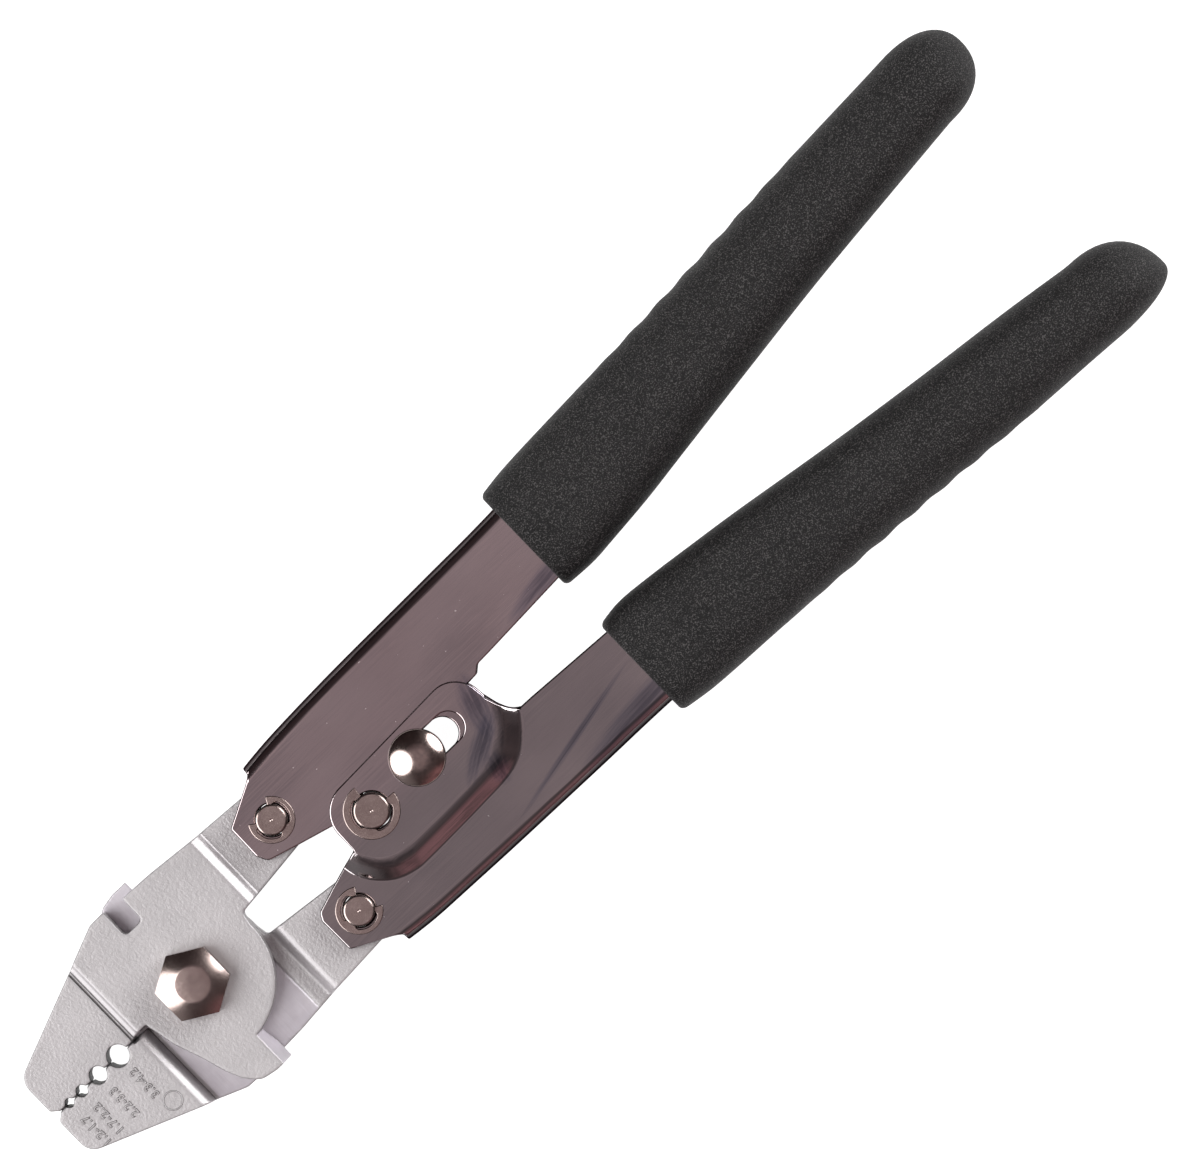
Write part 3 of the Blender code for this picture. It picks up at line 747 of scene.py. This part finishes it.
def machined_faces(piece, milled_painted_light, bored, rolled):
    """Give the milled lap and lug a lighter finish that is partly painted light, the drilled dies a
    near-black one that is painted shade, and the rolled shoulders their own.
    """
    for finish in (milled_painted_light, bored, rolled):
        piece.data.materials.append(finish)
    for face in piece.data.polygons:
        x, y, z = (face.center - PIVOT) / MM
        height, above_lap = abs(z), LAP + 0.1
        at_tail = above_lap < height < TAIL_Z - 0.04 or TAIL_Z + 0.06 < height < PLATE_Z - 0.06
        # Painted light: the lap and the lug's side take the lighter milled finish
        if abs(face.normal.z) > 0.97 and height < above_lap and inside(x, LAP_X):
            face.material_index = MILLED_PAINTED_LIGHT
        if inside(x, LUG_X) and abs(y) > LUG_Y and above_lap < height < PLATE_Z - 0.1:
            face.material_index = MILLED_PAINTED_LIGHT
        if inside(x, SHOULDER_X) and above_lap < height < TIP_Z - 0.04:
            face.material_index = ROLLED
        if inside(x, CREST_X) and at_tail:
            face.material_index = ROLLED
        if inside(x, RAMP_X) and TIP_Z + 0.06 < height < PLATE_Z - 0.06:
            face.material_index = ROLLED
        # Painted shade: the die bores' walls take the near-black finish
        if abs(face.normal.z) < 0.6 and any(math.hypot(x - die, y) < radius + 0.12 for die, radius in DIES):
            face.material_index = BORED


def jaws(finish, milled_painted_light, bored, flank_shade, rolled):
    upper = cast_edges(jaw("upper_jaw_casting"))
    lower = link("lower_jaw_casting", upper.data.copy())
    turn_over(lower)
    settle(upper, "moving_jaw", finish, "upper_jaw")
    settle(lower, "fixed_jaw", finish, "lower_jaw")
    for casting in (upper, lower):
        machined_faces(casting, milled_painted_light, bored, rolled)
    for index, (words, (x, radius)) in enumerate(zip(DIE_LABELS, DIES)):
        mark = die_label(f"lower_die_size_{index + 1}", words, x)
        settle(mark, "fixed_jaw", finish)
        painted_shade_flanks(mark, flank_shade)
    ring = [(1.65, TIP_Z + 0.1), (1.8, TIP_Z + 0.1), (1.95, TIP_Z - 0.1), (1.5, TIP_Z - 0.1)]
    mark = turned("lower_jaw_mould_mark", -17.5, -12.7, ring, 48, ring=True)
    settle(mark, "fixed_jaw", finish)


# ---------------------------------------------------------------- handles

def upper_spine():
    return [(33.2, 21.75), (36.5, 22.15), (41, 22.55), (50, 23.0), (60, 23.3), (80, 23.6), (98, 24.0),
            (120, 25.6), (150, 27.6), (HANDLE_END_X, 30.2)]


def lower_spine():
    return [(33.4, -21.5), (36.5, -21.85), (41, -22.2), (50, -22.5), (60, -22.8), (80, -23.2),
            (98, -23.5), (120, -24.6), (150, -26.6), (HANDLE_END_X, -29.2)]


def upper_inner_edge():
    return [(HANDLE_END_X, 18.4), (150, 13.0), (110, 7.9), (98, 6.8), (80, 5.9)]


def lower_inner_edge():
    return [(80, -5.3), (98, -6.3), (110, -7.6), (150, -12.9), (HANDLE_END_X, -18.4)]


def upper_ear():
    """The upper handle's ear: lobe round the pin, notch and hooked slot for the lock stud."""
    orbit = math.hypot(LOCK.x - HANDLE_PIN_X, LOCK.y)
    inner, outer = orbit - STUD_R - 0.6, orbit + STUD_R + 0.6
    top, bottom, hook_y = LOCK.y + SLOT_HALF, LOCK.y - SLOT_HALF, -5.5
    angle_top, angle_bottom, angle_hook = (math.degrees(math.asin(y / outer)) for y in (top, bottom, hook_y))
    points = rounded([(80.0, 5.9, 0), (77.0, 5.8, 0.9), (75.6, 4.6, 0.9), (72.4, 4.4, 1.0),
                      (70.9, 0.5, 0), (68.4, hook_y, 2.5), (65.0, hook_y, 0)])[1:]
    points += arc(HANDLE_PIN_X, 0, outer, angle_hook, angle_bottom, 4)
    points += arc(HOOK_SLOT_END_X, LOCK.y, SLOT_HALF, -90, 90, 24)
    points += arc(HANDLE_PIN_X, 0, outer, angle_top, angle_top + 3, 2)
    points += arc(HANDLE_PIN_X, 0, inner, angle_top + 3, -38, 16)
    points += arc(HANDLE_PIN_X, 0, LOBE_R, -62, -203, 30)
    return points


def upper_nose():
    return rounded([(37.5, 2.7, 0), (31.0, 4.75, 4.0), (25.0, 6.5, 1.5), (24.0, 8.6, 1.0),
                    (24.1, 15.35, 0.8), (31.05, 18.95, 0)])[1:-1]


def lower_nose():
    return rounded([(31.2, -18.7, 0), (24.5, -15.3, 0.8), (24.4, -8.2, 1.0),
                    (25.2, -6.7, 1.5), (30.0, -5.1, 0)])


def joggle_rows():
    """Rows from the foot to the crest of the step that lifts the ears, each with its share of the rise."""
    levels, count = 20, 72
    foot = [(33.9, -3.9), (34.5, -6.6), (36.2, -9.5), (39.2, -12.2), (43.0, -13.6), (47.0, -13.8),
            (60.0, -13.4), (67.0, -13.1), (71.0, -12.0), (74.2, -9.5), (76.3, -7.0), (77.2, -5.2)]
    crest = [(37.6, -2.9), (38.5, -4.8), (40.1, -6.8), (42.3, -8.2), (44.8, -8.65), (48.0, -8.8),
             (60.0, -8.6), (65.0, -7.9), (68.0, -6.5), (70.4, -4.1), (72.4, -1.4), (73.7, 1.5)]
    # Slope of the step at each share of its width: crisp foot, nearly straight flank, wide round crest
    slopes = [(0.0, 0.0), (0.24, 0.66), (0.58, 0.60), (0.68, 0.42), (0.94, 0.20), (1.0, 0.0)]
    climb = []
    for level in range(1, levels + 1):
        share = (level - 0.5) / levels
        (x0, y0), (x1, y1) = next(pair for pair in zip(slopes, slopes[1:]) if share <= pair[1][0])
        climb.append(y0 + (y1 - y0) * (share - x0) / (x1 - x0))
    rows = []
    for level in range(levels + 1):
        share = level / levels
        height = sum(climb[:level]) / sum(climb)
        points = [Vector(a).lerp(Vector(b), share) for a, b in zip(foot, crest)]
        # The free end on the grip side curves in like the edge of the ear
        points[-1] += Vector((-0.55, -1.2)) * math.sin(math.pi * share)
        rows.append((curve_through(points, count), height))
    return rows


def ear_top():
    return rounded([(73.7, 1.5, 0), (73.2, 8.1, 5.6), (37.5, 6.85, 6.0), (37.6, -2.9, 0)])[1:-1]


def fold(work, spine, side):
    """Half the channel's back and one bend; gives the bend's last row, where the side plate starts."""
    flat_z = CHANNEL_Z - SHEET / 2
    turns = 10
    # The end is cut square near the back, then follows the slope of the nose
    square, nose_slope, reach = 1.8, 0.47, 6.0
    rows = []
    stations = curve_through(spine, 110)
    del stations[1:3]           # room for the rounded rim at the end
    for x, y in stations:
        centre_y = y - side * (SHEET / 2 + BEND_R)
        column = [(x, y - side * SHEET / 2, 0)]
        lean = max(0.0, 1 - (x - spine[0][0]) / reach) ** 2 / nose_slope
        for turn in range(turns + 1):
            angle = math.radians(90 * turn / turns)
            inward = SHEET / 2 + BEND_R * (1 - math.cos(angle))
            column.append((x - lean * max(0.0, inward - square), centre_y + side * BEND_R * math.cos(angle),
                           flat_z - BEND_R + BEND_R * math.sin(angle)))
        rows.append([work.verts.new(Vector(point) * MM) for point in column])
    for near, far in zip(rows, rows[1:]):
        for level in range(turns + 1):
            work.faces.new((near[level], far[level], far[level + 1], near[level + 1]))
    return [row[-1] for row in rows]


def flat_row(work, points, z):
    return [work.verts.new(Vector((x, y, z)) * MM) for x, y in points]


def sheet_channel(name, work):
    bmesh.ops.recalc_face_normals(work, faces=work.faces)
    mesh = bpy.data.meshes.new(name)
    work.to_mesh(mesh)
    work.free()
    made = link(name, mesh)
    mirror = made.modifiers.new("back", "MIRROR")
    mirror.use_axis = (False, False, True)
    mirror.merge_threshold = 0.005 * MM
    shell = made.modifiers.new("sheet", "SOLIDIFY")
    shell.thickness = SHEET * MM
    shell.offset = 0
    shell.use_even_offset = True
    bake(made)
    # The plates and ears, each one many-sided face, are dead flat
    levels = [side * (face - inward) * MM
              for side in (1, -1) for face in (CHANNEL_Z, EAR_Z) for inward in (0, SHEET)]
    for plate in made.data.polygons:
        if len(plate.vertices) > 30:
            level = min(levels, key=lambda height: abs(height - plate.center.z))
            for index in plate.vertices:
                made.data.vertices[index].co.z = level
    outwards(made.data)
    return made


def upper_handle():
    work = bmesh.new()
    bend = fold(work, upper_spine(), 1)
    edge = flat_row(work, upper_inner_edge() + upper_ear() + upper_nose(), CHANNEL_Z - SHEET / 2)
    work.faces.new(bend + edge)
    made = sheet_channel("upper_handle_sheet", work)
    bore(made, TAIL_PIN.x, TAIL_PIN.y, TAIL_BORE_R)
    bore(made, HANDLE_PIN_X, 0, 3.7)
    return soften(made, RIM)


def lower_handle():
    flat_z = CHANNEL_Z - SHEET / 2
    rise = EAR_Z - CHANNEL_Z
    work = bmesh.new()
    bend = fold(work, lower_spine(), -1)
    rows = [flat_row(work, points, flat_z + rise * height) for points, height in joggle_rows()]
    nose = flat_row(work, lower_nose()[1:], flat_z)
    inner = flat_row(work, lower_inner_edge(), flat_z)
    work.faces.new(nose + rows[0] + inner + bend[::-1])
    for low, high in zip(rows, rows[1:]):
        for index in range(len(low) - 1):
            work.faces.new((low[index], low[index + 1], high[index + 1], high[index]))
    work.faces.new(rows[-1] + flat_row(work, ear_top(), flat_z + rise))
    made = sheet_channel("lower_handle_sheet", work)
    bore(made, TAIL_PIN.x, -TAIL_PIN.y, TAIL_BORE_R)
    bore(made, HANDLE_PIN_X, 0, 3.5)
    slot = (arc(EAR_SLOT_END_X, LOCK.y, SLOT_HALF, -90, 90, 24)
            + arc(LOCK.x - 0.35, LOCK.y, SLOT_HALF, 90, 270, 24))
    combine(made, prism("slot", slot, -20, 20), "DIFFERENCE")
    return soften(made, RIM)


# ---------------------------------------------------------------- grips

def along(points, x):
    """Height of a smooth line through (x, y) points at x."""
    for index in range(len(points) - 1):
        if x <= points[index + 1][0] or index == len(points) - 2:
            break
    (x0, y0), (x1, y1) = points[index], points[index + 1]

    def slope(at):
        low, high = points[max(0, at - 1)], points[min(len(points) - 1, at + 1)]
        return (high[1] - low[1]) / (high[0] - low[0])

    t = (x - x0) / (x1 - x0)
    reach = x1 - x0
    return ((2 * t ** 3 - 3 * t ** 2 + 1) * y0 + (t ** 3 - 2 * t ** 2 + t) * reach * slope(index)
            + (3 * t ** 2 - 2 * t ** 3) * y1 + (t ** 3 - t ** 2) * reach * slope(index + 1))


GRIPS = {
    "upper": {"side": 1, "front": 98.4, "round_from": 207.0, "tip": (218.6, 26.0),
              "inner": [(98, 4.8), (105, 4.5), (110, 4.9), (120, 5.9), (130, 7.3), (150, 10.1), (170, 12.8),
                        (190, 15.0), (207, 16.8)],
              "outer": [(98, 27.2), (105, 28.1), (120, 28.9), (140, 29.8), (160, 31.0), (180, 32.3),
                        (200, 33.3), (207, 33.7)]},
    "lower": {"side": -1, "front": 97.8, "round_from": 204.0, "tip": (217.2, 28.5),
              "inner": [(97, 4.7), (103, 3.9), (110, 4.4), (120, 5.6), (130, 6.9), (150, 9.9), (170, 12.5),
                        (190, 14.8), (204, 16.7)],
              "outer": [(97, 26.0), (105, 27.1), (120, 27.8), (140, 28.8), (160, 30.0), (180, 31.5),
                        (195, 32.2), (204, 32.7)]},
}


def grip_section(shape, x, sides):
    """Ring of points round the grip at x: a squared oval, its outer edge lightly ribbed for the fingers."""
    start, (tip_x, tip_y) = shape["round_from"], shape["tip"]
    within = min(x, start)
    inner, outer = along(shape["inner"], within), along(shape["outer"], within)
    half = GRIP_HALF
    share = 1.0
    if x > start:
        u = (x - start) / (tip_x - start)
        share = max(0.0, 1 - u ** 2.4) ** (1 / 2.2)
        inner, outer = tip_y + (inner - tip_y) * share, tip_y + (outer - tip_y) * share
        half *= max(0.0, 1 - u ** 2.6) ** (1 / 2.0)
    lip = max(0.0, 1 - (x - shape["front"]) / 1.2)          # rounded front rim
    draw = 0.9 * (1 - math.sqrt(max(0.0, 1 - lip ** 2)))
    centre, width = (inner + outer) / 2, (outer - inner) / 2 - draw
    half -= draw
    power = 2 / (3.5 - 0.8 * min(1.0, max(0.0, (x - shape["front"]) / 50)) - 0.4 * (1 - share))
    rib_zone = math.exp(-((x - 155) / 24) ** 4)
    rib = 0.14 * rib_zone * math.sin(2 * math.pi * x / 7.2)
    ring = []
    for turn in range(sides):
        angle = 2 * math.pi * turn / sides
        c, s = math.cos(angle), math.sin(angle)
        y = centre + math.copysign(abs(c) ** power, c) * width + rib * max(0.0, c) ** 3
        ring.append(Vector((x, shape["side"] * y, math.copysign(abs(s) ** power, s) * half)) * MM)
    return ring


def grip_pocket(side, inner_edge, spine):
    """Room for the handle's end in a grip, with a little slack all round."""
    slack, mouth_x = 0.12, 90.0
    inner = sorted((x, y - side * slack) for x, y in inner_edge if x > mouth_x)
    outer = sorted((x, y + side * slack) for x, y in spine if x > mouth_x)
    start = [(mouth_x, inner[0][1] - side * 0.4)]
    reach = [(inner[-1][0] + slack, inner[-1][1]), (outer[-1][0] + slack, outer[-1][1])]
    outline = start + inner[:-1] + reach + outer[-2::-1] + [(mouth_x, outer[0][1])]
    return prism("pocket", outline, -CHANNEL_Z - slack, CHANNEL_Z + slack)


def grip(name, shape, inner_edge, spine):
    sides = 88
    front, (tip_x, tip_y) = shape["front"], shape["tip"]
    stations = [front + 1.2 * (1 - math.cos(math.radians(15 * turn))) for turn in range(6)]
    stations += [front + 1.2 + turn for turn in range(int(shape["round_from"] - front - 1))]
    first = stations[-1]
    stations += [first + (tip_x - first) * math.sin(math.radians(6 * turn)) for turn in range(1, 15)]
    work = bmesh.new()
    rings = [[work.verts.new(point) for point in grip_section(shape, x, sides)] for x in stations]
    for near, far in zip(rings, rings[1:]):
        for index in range(sides):
            after = (index + 1) % sides
            work.faces.new((near[index], near[after], far[after], far[index]))
    work.faces.new(rings[0])
    end = work.verts.new(Vector((tip_x, shape["side"] * tip_y, 0)) * MM)
    for index in range(sides):
        work.faces.new((rings[-1][index], rings[-1][(index + 1) % sides], end))
    mesh = bpy.data.meshes.new(name)
    work.to_mesh(mesh)
    work.free()
    outwards(mesh)
    made = link(name, mesh)
    combine(made, grip_pocket(shape["side"], inner_edge, spine), "DIFFERENCE")
    return smooth_up_to(made, 50)


# ---------------------------------------------------------------- fasteners

def hexagon(name, flats, low, high):
    return cylinder(name, 0, 0, flats / 2 / math.cos(math.radians(30)), low, high, 6)


def pivot_bolt():
    """Hex bolt whose head is rounded off to a flat top."""
    low, high = PLATE_Z + 0.05, span("pivot_bolt")[HIGHEST].z
    flats = span("pivot_bolt")[HIGHEST].x * 2
    made = hexagon("pivot_bolt_head", flats, low, high)
    cone = [(3.0, 0.0), (3.2, 0.02), (3.6, 0.14), (4.6, 0.54), (5.6, 1.02), (6.6, 1.56), (7.6, 2.2)]
    crown = turned("crown", 0, 0, [(0, high)] + [(radius, high - drop) for radius, drop in cone]
                   + [(7.6, low - 1), (0, low - 1)], 96)
    combine(made, crown, "INTERSECT")
    combine(made, cylinder("shank", 0, 0, BOLT_R, span("pivot_bolt")[LOWEST].z, low + 1), "UNION")
    return smooth_up_to(made, 28)


def pivot_nut():
    low, high = span("pivot_nut")[LOWEST].z, -PLATE_Z - 0.05
    made = hexagon("pivot_nut_low", span("pivot_nut")[HIGHEST].x * 2, low, high)
    bore(made, 0, 0, BOLT_R + 0.15)
    beyond, chamfer_r, drop = 8.0, 6.2, 0.9
    profile = [(0, high + 1), (beyond, high + 1), (beyond, low + drop), (chamfer_r, low), (0, low)]
    crown = turned("crown", 0, 0, profile, 96)
    combine(made, crown, "INTERSECT")
    return keep_flats(smooth_up_to(made, 28), 0.0)


def grooved_pin(name, node, face):
    """Pin through both plates with a groove for each clip, chamfered ends and a centre pip."""
    low, high = span(node)
    centre, radius, end = middle(node), (high.x - low.x) / 2, high.z
    neck = radius - 0.5
    half = [(0, end - 0.12), (0.1, end - 0.1), (0.28, end), (0.32, end), (radius - 0.36, end),
            (radius - 0.33, end), (radius - 0.12, end - 0.1), (radius, end - 0.3), (radius, face + 1.25),
            (neck, face + 1.2), (neck, face + 0.1), (radius, face + 0.05)]
    return turned(name, centre.x, centre.y, half + [(r, -z) for r, z in reversed(half)])


def retaining_clip(name, node, pin_node, face, opening):
    """E-shaped clip: an open ring whose three teeth reach into the pin's groove."""
    mouth, steps = 43, 120              # half the opening in degrees, and points along the inside
    clear, tooth, tooth_half, crisp = 0.55, 0.85, 0.075, 90
    thick, lift, rim = 0.8, 0.08, 0.16
    centre = middle(pin_node)
    low, high = span(pin_node)
    pin_radius = (high.x - low.x) / 2
    low, high = span(node)
    outer = max(high.x - low.x, high.y - low.y) / 2
    first, last = opening + mouth, opening + 360 - mouth
    outline = arc(centre.x, centre.y, outer, first, last, 64)
    for step in range(steps + 1):
        share = 1 - step / steps
        gap = min(share, 1 - share, abs(share - 0.5))
        reach = 1 / (1 + math.exp((gap - tooth_half) * crisp))
        radius = pin_radius + clear - tooth * reach
        outline.append(around(centre.x, centre.y, radius, first + (last - first) * share))
    bottom = face + lift if face > 0 else face - lift - thick
    made = prism(name, outline, bottom, bottom + thick, rim)
    return keep_flats(smooth_up_to(made, 45), 0.0)


def lock_stud():
    """Domed stud through the ears' slot, riveted over at the back."""
    low, high = span("lock_stud")
    base, radius = EAR_Z + 0.08, (high.x - low.x) / 2
    edge = 36
    ball = (radius - 0.25) / math.sin(math.radians(edge))
    dome = [(ball * math.sin(math.radians(edge * turn / 20)),
             high.z - ball + ball * math.cos(math.radians(edge * turn / 20))) for turn in range(21)]
    foot = dome[-1][1]
    dome += [(radius - 0.08, foot - 0.15), (radius, foot - 0.4)]
    rivet = -EAR_Z - 1.2
    back = [(radius, base + 0.2), (radius - 0.2, base), (STUD_R, base), (STUD_R, rivet), (4.0, rivet),
            (4.0, rivet - 0.3), (3.6, rivet - 0.6), (2.6, low.z), (0, low.z)]
    return smooth_up_to(turned("lock_stud_dome", LOCK.x, LOCK.y, dome + back, 128), 40)


def spring_washer():
    """Dished washer between the ear and the stud's riveted foot."""
    low, high = span("lock_spring_washer")
    inner, outer, thick = 2.8, (high.x - low.x) / 2, 0.45
    profile = [(inner, low.z + thick), (inner + 0.9, low.z + thick + 0.06), (outer - 0.1, high.z),
               (outer, high.z - 0.15), (outer - 0.05, high.z - thick), (inner + 0.9, low.z + 0.06),
               (inner, low.z)]
    return smooth_up_to(turned("lock_spring_washer_dished", LOCK.x, LOCK.y, profile, 96, ring=True), 40)


def handle_spacer():
    """Sleeve on the handle pin, chamfered at both ends."""
    low, high = span("handle_spacer")
    outer, inner, end, chamfer = (high.x - low.x) / 2, 3.5, high.z, 0.3
    half = [(inner, end - chamfer), (inner + chamfer, end), (outer - chamfer, end), (outer, end - chamfer)]
    profile = half + [(radius, -z) for radius, z in reversed(half)]
    return smooth_up_to(turned("handle_spacer_sleeve", HANDLE_PIN_X, 0, profile, 72, ring=True), 30)


def fasteners(finish):
    settle(pivot_bolt(), "fixed_jaw", finish, "pivot_bolt")
    settle(pivot_nut(), "fixed_jaw", finish, "pivot_nut")
    # Pin, the body it rides on, the face its clip stands on and the way the clip opens, in degrees
    pins = (("upper_jaw_pin", "upper_lever", CHANNEL_Z, 105), ("lower_jaw_pin", "lower_lever", CHANNEL_Z, 13),
            ("handle_pin", "lower_lever", EAR_Z, 40))
    for node, body, face, opening in pins:
        settle(smooth_up_to(grooved_pin(node + "_turned", node, face), 16), body, finish, node)
        for clip, side in (("_clip", 1), ("_rear_clip", -1)):
            made = retaining_clip(node + clip + "_ring", node + clip, node, side * face, opening)
            settle(made, body, finish, node + clip)
    settle(lock_stud(), "lock", nickel(0.12, 0.17), "lock_stud")
    settle(spring_washer(), "lock", finish, "lock_spring_washer")
    settle(handle_spacer(), "lower_lever", finish, "handle_spacer")


# ---------------------------------------------------------------- assembly

camera()
floor()
soft_boxes()
surroundings()
bpy.context.scene.view_settings.view_transform = "Standard"
jaws(cast_steel(), milled_painted_light_steel(), die_bore_shade_steel(), flank_shade_steel(), rolled_steel())
sheet_finish = chrome()
settle(upper_handle(), "upper_lever", sheet_finish, "upper_handle")
settle(lower_handle(), "lower_lever", sheet_finish, "lower_handle")
grip_finish = rubber()
settle(grip("upper_grip_moulding", GRIPS["upper"], upper_inner_edge(), upper_spine()),
       "upper_lever", grip_finish, "upper_grip")
settle(grip("lower_grip_moulding", GRIPS["lower"], lower_inner_edge(), lower_spine()),
       "lower_lever", grip_finish, "lower_grip")
fasteners(nickel(0.17, 0.24))
